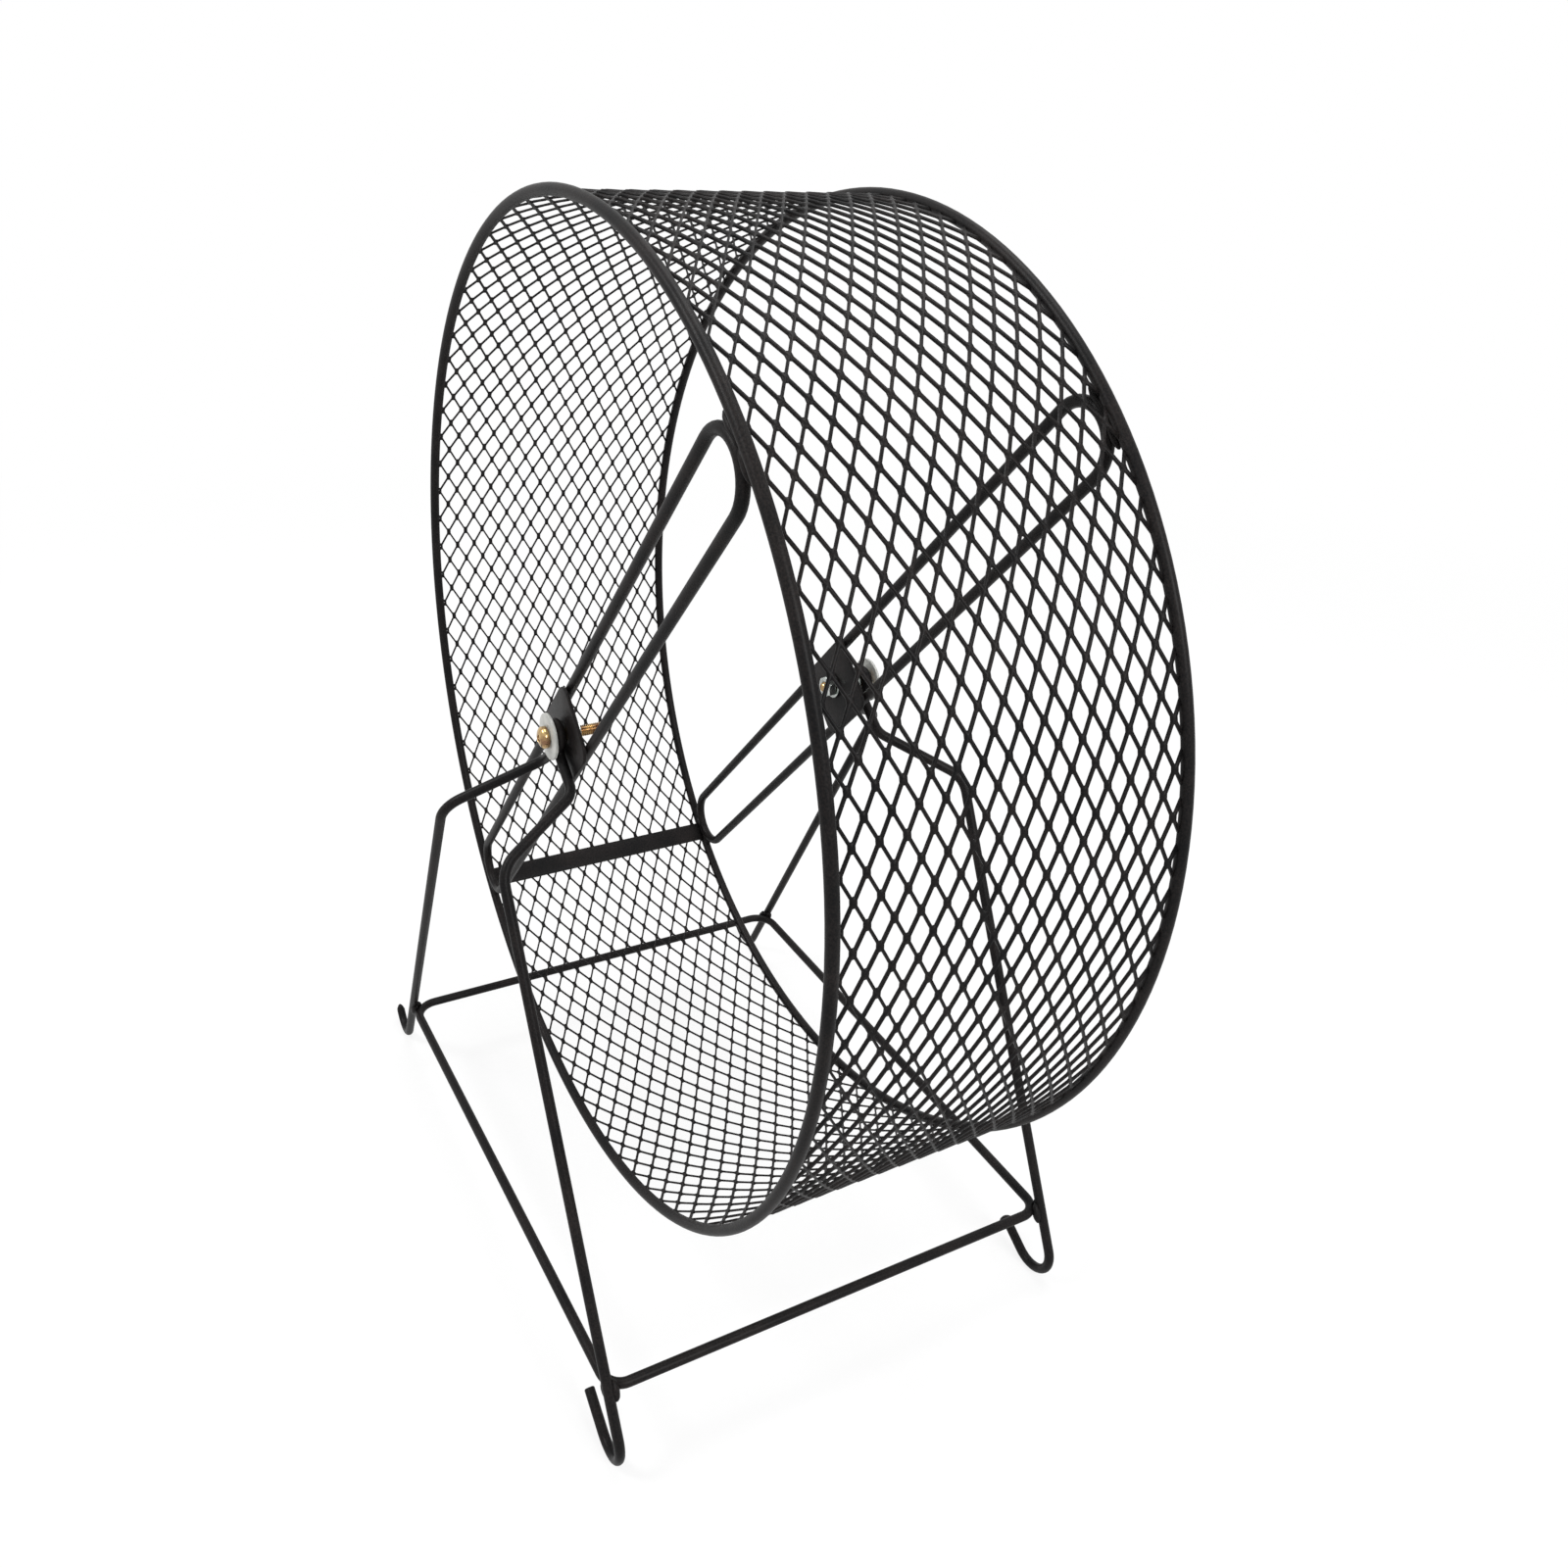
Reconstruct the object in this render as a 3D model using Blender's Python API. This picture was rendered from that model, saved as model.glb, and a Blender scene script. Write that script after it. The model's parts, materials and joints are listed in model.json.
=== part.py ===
"""Hamster exercise wheel: a wire and expanded mesh drum hung on two screws in a bent wire stand.

X runs across the stand, Y along the axle with the front of the wheel at -Y, and Z is up. The floor
is z = 0 and the origin lies on it, under the middle of the wheel. All sizes are in metres.
"""
import math

import bmesh
import bpy
from mathutils import Vector

MM = 0.001

# Wire and fits
WIRE_DIAMETER = 2.8 * MM
SEAT_GAP = 0.3 * MM
AXLE_CLEARANCE = 0.3 * MM

# Wheel
WHEEL_DIAMETER = 260.0 * MM
RIM_SPACING = 82.9 * MM
SPOKE_LOOP_WIDTH = 17.1 * MM
SPOKE_ANGLE = math.radians(46.5)

# Expanded mesh band and the strip over its seam
MESH_CELLS_AROUND = 36
MESH_ROWS_ACROSS = 11
MESH_THICKNESS = 0.9 * MM
STRAND_WIDTH = 1.5 * MM
STRAND_TILT = 0.4 * MM
SEAM_WIDTH = 6.5 * MM
SEAM_THICKNESS = 0.8 * MM
SEAM_ANGLE = math.radians(227.2)

# Hub plates, welded across the spoke loops
PLATE_LENGTH = 23.0 * MM
PLATE_MARGIN = 0.9 * MM
PLATE_OFFSET = 1.0 * MM
PLATE_THICKNESS = 1.0 * MM
PLATE_CORNER = 4.2 * MM

# Axle screws and what is threaded on them
SCREW_DIAMETER = 3.0 * MM
SCREW_TIP_LENGTH = 0.8 * MM
SCREW_TIP_CHAMFER = 0.4 * MM
HEAD_DIAMETER = 5.9 * MM
HEAD_HEIGHT = 2.3 * MM
HEAD_SIDE_HEIGHT = 0.9 * MM
NUT_ACROSS_FLATS = 5.5 * MM
NUT_HEIGHT = 2.2 * MM
NUT_WASHER_DIAMETER = 7.0 * MM
NUT_WASHER_THICKNESS = 0.5 * MM
REAR_SPACER_DIAMETER = 6.0 * MM
REAR_SPACER_LENGTH = 6.2 * MM
OUTER_WASHER_DIAMETER = 12.5 * MM
OUTER_WASHER_THICKNESS = 0.8 * MM

# Side wires of the stand, measured from the axle
SIDE_ROOM = 25.65 * MM
FRONT_LEFT_SPLAY = 4.6 * MM
REAR_LEFT_SPLAY = 2.2 * MM
RING_ROOM = 9.1 * MM
NECK_REACH = 10.9 * MM
NECK_DROP = 12.1 * MM
FRONT_SHOULDER_REACH = 18.6 * MM
REAR_SHOULDER_REACH = 24.6 * MM
SHOULDER_SWAY = 1.6 * MM
SHOULDER_DROP = 23.7 * MM
LEG_REACH = 86.0 * MM
EYE_THROAT_GAP = 0.5 * MM
EYE_FLARE_RADIUS = 2.0 * MM
NECK_BEND_RADIUS = 5.0 * MM
SHOULDER_BEND_RADIUS = 9.0 * MM

# Feet below the base ring, all curled towards -X
FOOT_DROP = 21.5 * MM
FOOT_BEND_RADIUS = 7.5 * MM
RIGHT_FOOT_RETURN = 11.0 * MM
RIGHT_FOOT_RISE = math.radians(32.0)
LEFT_FOOT_RETURN = 1.2 * MM
LEFT_FOOT_RISE = math.radians(56.0)

# Base ring
RING_INSET = 0.6 * MM
RING_RIGHT_CORNER = 5.5 * MM
RING_LEFT_CORNER = 7.0 * MM

# Facets
RIM_STEPS = 60
BEND_STEP = math.radians(24.0)
ROUND_STEPS = 16
BORE_STEPS = 16
PLATE_CORNER_STEPS = 3
DOME_STEPS = 3
HEX_CORNERS = 6
WIRE_RESOLUTION = 2
SMOOTH_ANGLE = math.radians(35.0)
MERGE_DISTANCE = 0.003 * MM

# Sizes that follow
WIRE_RADIUS = WIRE_DIAMETER / 2
RIM_RADIUS = WHEEL_DIAMETER / 2 - WIRE_RADIUS
RIM_PLANE = RIM_SPACING / 2
SPOKE_REACH = RIM_RADIUS - WIRE_DIAMETER - SEAT_GAP
BAND_HALF_WIDTH = RIM_PLANE - WIRE_RADIUS - SEAT_GAP
BORE_RADIUS = SCREW_DIAMETER / 2 + AXLE_CLEARANCE
PLATE_WIDTH = SPOKE_LOOP_WIDTH + WIRE_DIAMETER + 2 * PLATE_MARGIN

# Places along the axle, measured outwards from the middle of the wheel
FRONT_PLATE_INNER = RIM_PLANE + WIRE_RADIUS + SEAT_GAP
FRONT_PLATE_OUTER = FRONT_PLATE_INNER + PLATE_THICKNESS
REAR_PLATE_OUTER = RIM_PLANE - WIRE_RADIUS - SEAT_GAP
REAR_PLATE_INNER = REAR_PLATE_OUTER - PLATE_THICKNESS
REAR_SPACER_INNER = REAR_PLATE_OUTER + SEAT_GAP
REAR_SPACER_OUTER = REAR_SPACER_INNER + REAR_SPACER_LENGTH
FRONT_EYE_PLANE = FRONT_PLATE_OUTER + SEAT_GAP + WIRE_RADIUS
REAR_EYE_PLANE = REAR_SPACER_OUTER + SEAT_GAP + WIRE_RADIUS
EYE_TO_WASHER = WIRE_RADIUS + SEAT_GAP
EYE_TO_HEAD = EYE_TO_WASHER + OUTER_WASHER_THICKNESS + SEAT_GAP
NUT_STACK = SEAT_GAP + NUT_WASHER_THICKNESS + SEAT_GAP + NUT_HEIGHT
SCREW_LENGTH = REAR_EYE_PLANE + EYE_TO_HEAD - REAR_PLATE_INNER + NUT_STACK + SCREW_TIP_LENGTH

# Places of the stand, measured from the axle
LEG_PLANE = RIM_PLANE + WIRE_RADIUS + SIDE_ROOM
RING_DROP = WHEEL_DIAMETER / 2 + RING_ROOM
AXLE_HEIGHT = RING_DROP + FOOT_DROP + WIRE_RADIUS

# Finishes: base colour, roughness, metallic
BLACK_COAT = ((0.022, 0.021, 0.022, 1.0), 0.48, 0.0)
YELLOW_ZINC = ((0.74, 0.50, 0.20, 1.0), 0.30, 1.0)
SILVER_ZINC = ((0.60, 0.61, 0.60, 1.0), 0.32, 1.0)
NYLON = ((0.80, 0.80, 0.77, 1.0), 0.42, 0.0)


def clear_scene():
    """Removes every object that the scene starts with."""
    for obj in list(bpy.data.objects):
        bpy.data.objects.remove(obj, do_unlink=True)


def finish_material(name, finish):
    """Makes the material of one sub-part from its finish."""
    color, roughness, metallic = finish
    material = bpy.data.materials.new(name + "_finish")
    material.use_nodes = True
    shader = material.node_tree.nodes["Principled BSDF"]
    shader.inputs["Base Color"].default_value = color
    shader.inputs["Roughness"].default_value = roughness
    shader.inputs["Metallic"].default_value = metallic
    return material


def place(obj, finish, parent):
    """Links an object, gives it its material and hangs it on its parent empty."""
    obj.data.materials.append(finish_material(obj.name, finish))
    obj.parent = parent
    bpy.context.collection.objects.link(obj)
    return obj


def mesh_object(name, mesh_builder, finish, parent):
    """Turns a bmesh into a placed object with its faces outwards."""
    bmesh.ops.recalc_face_normals(mesh_builder, faces=mesh_builder.faces[:])
    mesh = bpy.data.meshes.new(name)
    mesh_builder.to_mesh(mesh)
    mesh_builder.free()
    mesh.shade_smooth()
    mesh.set_sharp_from_angle(angle=SMOOTH_ANGLE)
    return place(bpy.data.objects.new(name, mesh), finish, parent)


def rounded(corners, radii, cyclic):
    """Points of a wire's centre line that turns each corner with an arc of the given radius."""
    points = []
    count = len(corners)
    for index, corner in enumerate(corners):
        if not cyclic and index in (0, count - 1):
            points.append(corner)
            continue
        back = (corners[index - 1] - corner).normalized()
        ahead = (corners[(index + 1) % count] - corner).normalized()
        turn = math.pi - back.angle(ahead)
        radius = radii[index]
        bisector = (back + ahead).normalized()
        center = corner + bisector * (radius / math.cos(turn / 2))
        start = corner + back * (radius * math.tan(turn / 2)) - center
        side = back * -1.0
        steps = math.ceil(turn / BEND_STEP)
        for step in range(steps + 1):
            angle = turn * step / steps
            points.append(center + start * math.cos(angle) + side * (radius * math.sin(angle)))
    return points


def wire_object(name, points, cyclic, parent):
    """A round wire along its centre line, with closed ends unless it is a ring."""
    curve = bpy.data.curves.new(name, "CURVE")
    curve.dimensions = "3D"
    spline = curve.splines.new("POLY")
    spline.points.add(len(points) - 1)
    for spline_point, point in zip(spline.points, points):
        spline_point.co = (*point, 1.0)
    spline.use_cyclic_u = cyclic
    spline.use_smooth = True
    curve.bevel_depth = WIRE_RADIUS
    curve.bevel_resolution = WIRE_RESOLUTION
    curve.use_fill_caps = not cyclic
    return place(bpy.data.objects.new(name, curve), BLACK_COAT, parent)


def rim(name, plane, parent):
    """One wire hoop of the wheel, in the plane y = plane."""
    points = []
    for step in range(RIM_STEPS):
        angle = 2 * math.pi * step / RIM_STEPS
        points.append(Vector((RIM_RADIUS * math.cos(angle), plane, RIM_RADIUS * math.sin(angle))))
    return wire_object(name, points, True, parent)


def spoke_loop(name, plane, parent):
    """The long closed loop across one rim, with round ends that meet the rim's inside."""
    half = SPOKE_LOOP_WIDTH / 2
    corners = [Vector((SPOKE_REACH, plane, half)), Vector((-SPOKE_REACH, plane, half)),
               Vector((-SPOKE_REACH, plane, -half)), Vector((SPOKE_REACH, plane, -half))]
    loop = wire_object(name, rounded(corners, [half] * len(corners), True), True, parent)
    loop.rotation_euler.y = -SPOKE_ANGLE
    return loop


class MeshLattice:
    """Vertices of the expanded mesh: a corner of an opening, on the outer or the inner side.

    Openings lie in rows across the band, each row shifted by half a cell. Rows -1 and
    MESH_ROWS_ACROSS are outside the band and lend only the corners that border it.
    """

    def __init__(self, builder):
        self.builder = builder
        self.found = {}
        self.cell = 2 * math.pi / MESH_CELLS_AROUND
        self.row = 2 * BAND_HALF_WIDTH / (MESH_ROWS_ACROSS + 1)
        long_half = self.cell * RIM_RADIUS / 2
        strand = math.hypot(long_half, self.row)
        self.open_angle = (long_half - STRAND_WIDTH / 2 * strand / self.row) / RIM_RADIUS
        self.open_half = self.row - STRAND_WIDTH / 2 * strand / long_half

    def corner(self, column, row, side, outer):
        """Vertex of one opening's corner: side is left, right, low or high."""
        key = (column % MESH_CELLS_AROUND, row, side, outer)
        if key not in self.found:
            around = {"left": -self.open_angle, "right": self.open_angle}.get(side, 0.0)
            across = {"low": -self.open_half, "high": self.open_half}.get(side, 0.0)
            tilt = {"low": -STRAND_TILT, "high": STRAND_TILT}.get(side, 0.0)
            angle = (column + (row % 2) / 2) * self.cell + around
            depth = 0.0 if outer else MESH_THICKNESS
            radius = RIM_RADIUS - STRAND_TILT / 2 - depth + tilt / 2
            place_y = (row + 1) * self.row - BAND_HALF_WIDTH + across
            self.found[key] = self.builder.verts.new(
                (radius * math.cos(angle), place_y, radius * math.sin(angle)))
        return self.found[key]

    def sheet(self, *corners):
        """One facet on the outer side and its twin on the inner side."""
        for outer in (True, False):
            self.builder.faces.new([self.corner(*corner, outer) for corner in corners])

    def wall(self, first, second):
        """The cut edge of the sheet between two corners."""
        self.builder.faces.new([self.corner(*first, True), self.corner(*second, True),
                                self.corner(*second, False), self.corner(*first, False)])


def mesh_band(parent):
    """The running surface: expanded steel mesh rolled into a drum between the two rims."""
    builder = bmesh.new()
    lattice = MeshLattice(builder)
    top = MESH_ROWS_ACROSS
    for column in range(MESH_CELLS_AROUND):
        for row in range(-1, top + 1):
            left_up = (column - 1 + row % 2, row + 1)
            right_up = (column + row % 2, row + 1)
            here = (column, row)
            if row < top:
                lattice.sheet((*here, "high"), (*here, "right"), (*right_up, "low"), (*right_up, "left"))
                lattice.sheet((*here, "high"), (*here, "left"), (*left_up, "low"), (*left_up, "right"))
            bond_right = (column + 1, row, "left")
            low_hole = (column + row % 2, row - 1, "high")
            high_hole = (column + row % 2, row + 1, "low")
            if row == -1:
                lattice.sheet((*here, "right"), bond_right, high_hole)
                lattice.wall((*here, "right"), bond_right)
                lattice.wall((*here, "left"), (*here, "high"))
                lattice.wall((*here, "high"), (*here, "right"))
            elif row == top:
                lattice.sheet((*here, "right"), low_hole, bond_right)
                lattice.wall((*here, "right"), bond_right)
                lattice.wall((*here, "left"), (*here, "low"))
                lattice.wall((*here, "low"), (*here, "right"))
            else:
                lattice.sheet((*here, "right"), low_hole, bond_right, high_hole)
                ring = [(*here, side) for side in ("left", "low", "right", "high")]
                for first, second in zip(ring, ring[1:] + ring[:1]):
                    lattice.wall(first, second)
    bmesh.ops.triangulate(builder, faces=builder.faces[:])
    return mesh_object("mesh_band", builder, BLACK_COAT, parent)


def seam_strip(parent):
    """Flat strip inside the band where the ends of the mesh sheet meet."""
    bar_sag = math.cos(math.pi / (2 * MESH_CELLS_AROUND))
    outer = (RIM_RADIUS - STRAND_TILT - MESH_THICKNESS) * bar_sag - SEAT_GAP
    builder = bmesh.new()
    bmesh.ops.create_cube(builder, size=1.0)
    bmesh.ops.scale(builder, vec=(SEAM_THICKNESS, 2 * BAND_HALF_WIDTH, SEAM_WIDTH), verts=builder.verts[:])
    bmesh.ops.translate(builder, vec=(outer - SEAM_THICKNESS / 2, 0.0, 0.0), verts=builder.verts[:])
    strip = mesh_object("seam_strip", builder, BLACK_COAT, parent)
    strip.rotation_euler.y = -SEAM_ANGLE
    return strip


def circle(radius, steps, phase=0.0):
    """Points of a circle in the XZ plane."""
    angles = [2 * math.pi * step / steps + phase for step in range(steps)]
    return [(radius * math.cos(angle), radius * math.sin(angle)) for angle in angles]


def plate_outline():
    """Outline of a hub plate with round corners, a little below the loop's middle line."""
    across = PLATE_LENGTH / 2 - PLATE_CORNER
    up = PLATE_WIDTH / 2 - PLATE_CORNER
    points = []
    for quarter, (sign_x, sign_z) in enumerate(((1, 1), (-1, 1), (-1, -1), (1, -1))):
        for step in range(PLATE_CORNER_STEPS + 1):
            angle = (quarter + step / PLATE_CORNER_STEPS) * math.pi / 2
            points.append((sign_x * across + PLATE_CORNER * math.cos(angle),
                           sign_z * up + PLATE_CORNER * math.sin(angle) - PLATE_OFFSET))
    return points


def hexagon(across_flats):
    """Hexagon with a point in the middle of each flat, so that it pairs with a round bore."""
    corners = circle(across_flats / math.sqrt(3), HEX_CORNERS)
    points = []
    for first, second in zip(corners, corners[1:] + corners[:1]):
        points.append(first)
        points.append(((first[0] + second[0]) / 2, (first[1] + second[1]) / 2))
    return points


def bored_plate(name, outline, start, end, finish, parent):
    """A flat piece of the given outline with a round bore on the axle, from y = start to y = end."""
    builder = bmesh.new()
    loops = []
    for points in (outline, circle(BORE_RADIUS, len(outline), math.atan2(outline[0][1], outline[0][0]))):
        verts = [builder.verts.new((x, start, z)) for x, z in points]
        loops += [builder.edges.new(pair) for pair in zip(verts, verts[1:] + verts[:1])]
    faces = bmesh.ops.bridge_loops(builder, edges=loops)["faces"]
    grown = bmesh.ops.extrude_face_region(builder, geom=faces, use_keep_orig=True)["geom"]
    moved = [item for item in grown if isinstance(item, bmesh.types.BMVert)]
    bmesh.ops.translate(builder, vec=(0.0, end - start, 0.0), verts=moved)
    return mesh_object(name, builder, finish, parent)


def washer(name, diameter, start, end, finish, parent):
    """A round piece on the axle screw."""
    return bored_plate(name, circle(diameter / 2, ROUND_STEPS), start, end, finish, parent)


def axle_screw(name, side, seat, parent):
    """Pan head machine screw with its head on the seat: side is -1 at the front and 1 at the rear."""
    head = HEAD_DIAMETER / 2
    shank = SCREW_DIAMETER / 2
    dome = HEAD_HEIGHT - HEAD_SIDE_HEIGHT
    profile = [(0.0, HEAD_HEIGHT)]
    for step in range(1, DOME_STEPS + 1):
        angle = math.pi / 2 * step / DOME_STEPS
        profile.append((head * math.sin(angle), HEAD_SIDE_HEIGHT + dome * math.cos(angle)))
    profile += [(head, 0.0), (shank, 0.0), (shank, SCREW_TIP_CHAMFER - SCREW_LENGTH),
                (shank - SCREW_TIP_CHAMFER, -SCREW_LENGTH), (0.0, -SCREW_LENGTH)]
    builder = bmesh.new()
    verts = [builder.verts.new((radius, side * (seat + height), 0.0)) for radius, height in profile]
    edges = [builder.edges.new(pair) for pair in zip(verts, verts[1:])]
    bmesh.ops.spin(builder, geom=verts + edges, axis=(0.0, 1.0, 0.0), cent=(0.0, 0.0, 0.0),
                   steps=BORE_STEPS, angle=2 * math.pi, use_merge=True)
    bmesh.ops.remove_doubles(builder, verts=builder.verts[:], dist=MERGE_DISTANCE)
    return mesh_object(name, builder, YELLOW_ZINC, parent)


def hub(end, side, inner, eye_plane, parent, stand):
    """Hub plate, screw, nut and washers of one end, from the plate's inner side to the wire eye."""
    plate = bored_plate(end + "_hub_plate", plate_outline(), side * inner,
                        side * (inner + PLATE_THICKNESS), BLACK_COAT, parent)
    plate.rotation_euler.y = -SPOKE_ANGLE
    axle_screw(end + "_axle_screw", side, eye_plane + EYE_TO_HEAD, parent)
    top = inner - SEAT_GAP
    base = top - NUT_WASHER_THICKNESS
    washer(end + "_nut_washer", NUT_WASHER_DIAMETER, side * top, side * base, SILVER_ZINC, parent)
    nut_top = base - SEAT_GAP
    bored_plate(end + "_nut", hexagon(NUT_ACROSS_FLATS), side * nut_top, side * (nut_top - NUT_HEIGHT),
                SILVER_ZINC, parent)
    under = eye_plane + EYE_TO_WASHER
    washer(end + "_outer_washer", OUTER_WASHER_DIAMETER, side * under,
           side * (under + OUTER_WASHER_THICKNESS), NYLON, stand)


def arc(center, radius, start, end):
    """Points of an arc in the XZ plane, as pairs, from one angle to the other."""
    steps = math.ceil(abs(end - start) / BEND_STEP)
    angles = [start + (end - start) * step / steps for step in range(steps + 1)]
    return [(center[0] + radius * math.cos(angle), center[1] + radius * math.sin(angle)) for angle in angles]


def eye_half():
    """Half of the eye that hugs the screw: over it, in below it, and out towards the neck bend."""
    eye = SCREW_DIAMETER / 2 + AXLE_CLEARANCE + WIRE_RADIUS
    flare = max(EYE_FLARE_RADIUS, WIRE_RADIUS)
    center_x = EYE_THROAT_GAP / 2 + WIRE_RADIUS + flare
    center = (center_x, -math.sqrt((eye + flare) ** 2 - center_x ** 2))
    inward = math.atan2(center[1], center[0])
    to_neck = (NECK_REACH - center[0], -NECK_DROP - center[1])
    run = math.sqrt(to_neck[0] ** 2 + to_neck[1] ** 2 - flare ** 2)
    leave = math.atan2(to_neck[1], to_neck[0]) - math.atan2(run, flare)
    over = arc((0.0, 0.0), eye, math.pi / 2, inward)
    under = arc(center, flare, inward + math.pi, leave + 2 * math.pi)
    return over + under[1:]


def leg_and_foot(direction, side, plane, shoulder_reach):
    """From the shoulder down one leg, round its foot and back to the free end."""
    slope = math.atan2(LEG_REACH - shoulder_reach, RING_DROP - SHOULDER_DROP)
    length, rise = RIGHT_FOOT_RETURN, RIGHT_FOOT_RISE
    if direction < 0:
        length, rise = LEFT_FOOT_RETURN, LEFT_FOOT_RISE
    bend = FOOT_BEND_RADIUS
    center_z = bend - RING_DROP - FOOT_DROP
    tangent_z = center_z + direction * bend * math.sin(slope)
    tangent_x = direction * (LEG_REACH - (tangent_z + RING_DROP) * math.tan(slope))
    center = (tangent_x - bend * math.cos(slope), center_z)
    lowest = -math.pi / 2
    points = arc(center, bend, direction * slope, lowest) + arc(center, bend, lowest, lowest - rise)[1:]
    end_x, end_z = points[-1]
    points.append((end_x - length * math.cos(rise), end_z + length * math.sin(rise)))
    return [Vector((x, side * plane, z)) for x, z in points]


def branch(direction, side, eye_plane, leg_plane):
    """Half of a side wire: from the top of the eye out to the shoulder and down to the foot's end."""
    reach = FRONT_SHOULDER_REACH if side < 0 else REAR_SHOULDER_REACH
    reach += direction * SHOULDER_SWAY
    eye = [Vector((direction * x, side * eye_plane, z)) for x, z in eye_half()]
    foot = leg_and_foot(direction, side, leg_plane, reach)
    neck = Vector((direction * NECK_REACH, side * eye_plane, -NECK_DROP))
    shoulder = Vector((direction * reach, side * leg_plane, -SHOULDER_DROP))
    radii = [0.0, NECK_BEND_RADIUS, SHOULDER_BEND_RADIUS, 0.0]
    return eye + rounded([eye[-1], neck, shoulder, foot[0]], radii, False)[1:-1] + foot


def side_wire(name, side, eye_plane, left_plane, parent):
    """One side of the stand: a single wire from foot to foot with an eye for the axle screw."""
    left = branch(-1, side, eye_plane, left_plane)
    right = branch(1, side, eye_plane, LEG_PLANE)
    return wire_object(name, left[:0:-1] + right, False, parent)


def ring_corner(direction, side, plane, bend):
    """Corner of the base ring whose bend just touches the leg that passes outside it."""
    touch = bend + WIRE_DIAMETER + 2 * SEAT_GAP
    reach = LEG_REACH - math.sqrt(touch ** 2 - (bend + RING_INSET) ** 2) + bend
    return Vector((direction * reach, side * (plane - RING_INSET), -RING_DROP))


def base_ring(front_left_plane, rear_left_plane, parent):
    """Rectangular wire ring that ties the four legs together just above the feet."""
    corners = [ring_corner(1, -1, LEG_PLANE, RING_RIGHT_CORNER),
               ring_corner(1, 1, LEG_PLANE, RING_RIGHT_CORNER),
               ring_corner(-1, 1, rear_left_plane, RING_LEFT_CORNER),
               ring_corner(-1, -1, front_left_plane, RING_LEFT_CORNER)]
    radii = [RING_RIGHT_CORNER, RING_RIGHT_CORNER, RING_LEFT_CORNER, RING_LEFT_CORNER]
    return wire_object("base_ring", rounded(corners, radii, True), True, parent)


def axis_empty(name, parent, height):
    """An empty on the wheel's axis for other pieces to hang on."""
    axis = bpy.data.objects.new(name, None)
    axis.parent = parent
    axis.location.z = height
    bpy.context.collection.objects.link(axis)
    return axis


def main():
    """Builds the whole wheel on its stand."""
    clear_scene()
    stand = axis_empty("stand_frame", None, AXLE_HEIGHT)
    wheel = axis_empty("wheel_axle", stand, 0.0)
    for end, side in (("front", -1), ("rear", 1)):
        rim(end + "_rim", side * RIM_PLANE, wheel)
        spoke_loop(end + "_spoke_loop", side * RIM_PLANE, wheel)
    hub("front", -1, FRONT_PLATE_INNER, FRONT_EYE_PLANE, wheel, stand)
    hub("rear", 1, REAR_PLATE_INNER, REAR_EYE_PLANE, wheel, stand)
    washer("rear_spacer", REAR_SPACER_DIAMETER, REAR_SPACER_INNER, REAR_SPACER_OUTER, SILVER_ZINC, wheel)
    mesh_band(wheel)
    seam_strip(wheel)
    front_left_plane = LEG_PLANE + FRONT_LEFT_SPLAY
    rear_left_plane = LEG_PLANE + REAR_LEFT_SPLAY
    side_wire("front_side_wire", -1, FRONT_EYE_PLANE, front_left_plane, stand)
    side_wire("rear_side_wire", 1, REAR_EYE_PLANE, rear_left_plane, stand)
    base_ring(front_left_plane, rear_left_plane, stand)
    bpy.context.view_layer.update()


main()
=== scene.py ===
"""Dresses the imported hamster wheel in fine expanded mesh, bent and welded wire and turned axle hardware.

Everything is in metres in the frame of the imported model: X across the stand, Y along the axle with the
front at -Y, Z up from the floor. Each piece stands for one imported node, or is a set of weld beads.
"""
from __future__ import annotations

import json
import logging
import math
from dataclasses import dataclass, field
from enum import Enum
from functools import cache
from typing import Any

import bmesh
import bpy
from bmesh.types import BMEdge, BMesh, BMVert
from mathutils import Matrix, Vector, noise


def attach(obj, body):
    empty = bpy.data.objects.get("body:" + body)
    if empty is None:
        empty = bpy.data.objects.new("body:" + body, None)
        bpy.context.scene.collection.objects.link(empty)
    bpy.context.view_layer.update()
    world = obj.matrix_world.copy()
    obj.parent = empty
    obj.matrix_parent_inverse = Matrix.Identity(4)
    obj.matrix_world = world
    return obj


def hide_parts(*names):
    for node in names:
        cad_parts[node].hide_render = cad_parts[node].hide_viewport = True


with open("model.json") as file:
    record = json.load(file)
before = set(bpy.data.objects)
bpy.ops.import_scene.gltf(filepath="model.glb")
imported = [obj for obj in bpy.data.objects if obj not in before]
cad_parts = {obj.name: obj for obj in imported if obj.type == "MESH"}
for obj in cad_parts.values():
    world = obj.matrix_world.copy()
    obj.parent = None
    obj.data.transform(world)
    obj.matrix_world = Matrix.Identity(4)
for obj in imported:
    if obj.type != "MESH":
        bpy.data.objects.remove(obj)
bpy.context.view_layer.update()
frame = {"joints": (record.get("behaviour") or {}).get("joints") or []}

LOG = logging.getLogger("hamster_wheel")
MM = 0.001
AXLE = Vector(frame["joints"][0]["pos_m"])
ALONG_AXLE = Vector((0.0, 1.0, 0.0))
UP = Vector((0.0, 0.0, 1.0))
MERGE_DISTANCE = 0.002 * MM
EASED_FROM = math.radians(50.0)
TURNING_FACETS = 48
Pair = tuple[float, float]
Size = tuple[float, float, float]
Constants = tuple[tuple[str, float], ...]


class End(Enum):
    """The two ends of the axle, by the sign of their side along Y."""

    FRONT = -1
    REAR = 1

    @property
    def label(self) -> str:
        """Word that starts the names of this end's pieces."""
        return self.name.lower()


class Side(Enum):
    """The two halves of a side wire, by the sign of their side along X."""

    LEFT = -1
    RIGHT = 1


class Body(Enum):
    """What a piece moves with."""

    STAND = "stand"
    WHEEL = "wheel"


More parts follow.
